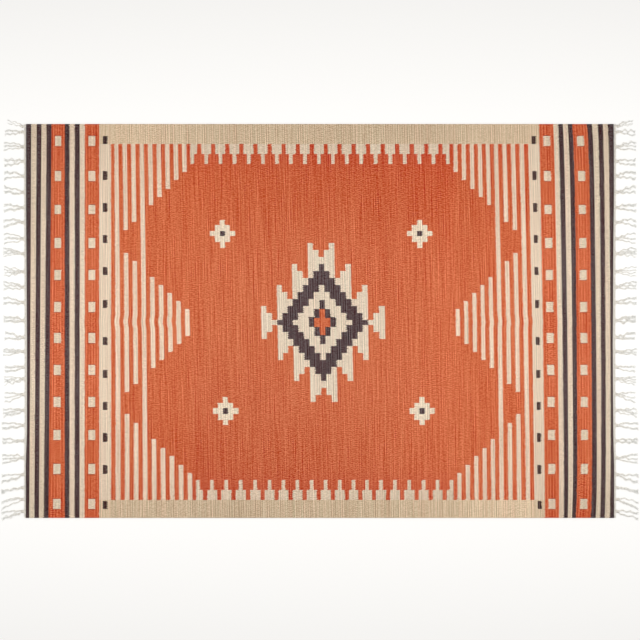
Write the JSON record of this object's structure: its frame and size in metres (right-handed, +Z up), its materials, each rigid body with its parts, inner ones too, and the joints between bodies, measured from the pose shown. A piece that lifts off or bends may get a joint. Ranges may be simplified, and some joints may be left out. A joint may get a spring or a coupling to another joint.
{
  "type": "kilim rug",
  "caption": "Flat-woven rectangular kilim rug with toothed borders, comb bars, a stepped medallion and knotted fringes along its short ends, lying flat.",
  "frame": {"origin": "on the floor, under the middle of the rug", "axes": "+X along the rug's length, the way the warps run; +Y across its width; +Z up, out of its upper face"},
  "size_m": [1.9326, 1.212, 0.0064],
  "materials": {
    "dyed_wool": "matt weft-faced wool flat weave in burnt orange, charcoal, cream and beige",
    "undyed_cotton": "matt plied cotton warp yarn, undyed"
  },
  "bodies": {
    "root": {"woven_cloth": "dyed_wool", "fringe_left": "undyed_cotton", "fringe_right": "undyed_cotton"}
  },
  "joints": []
}
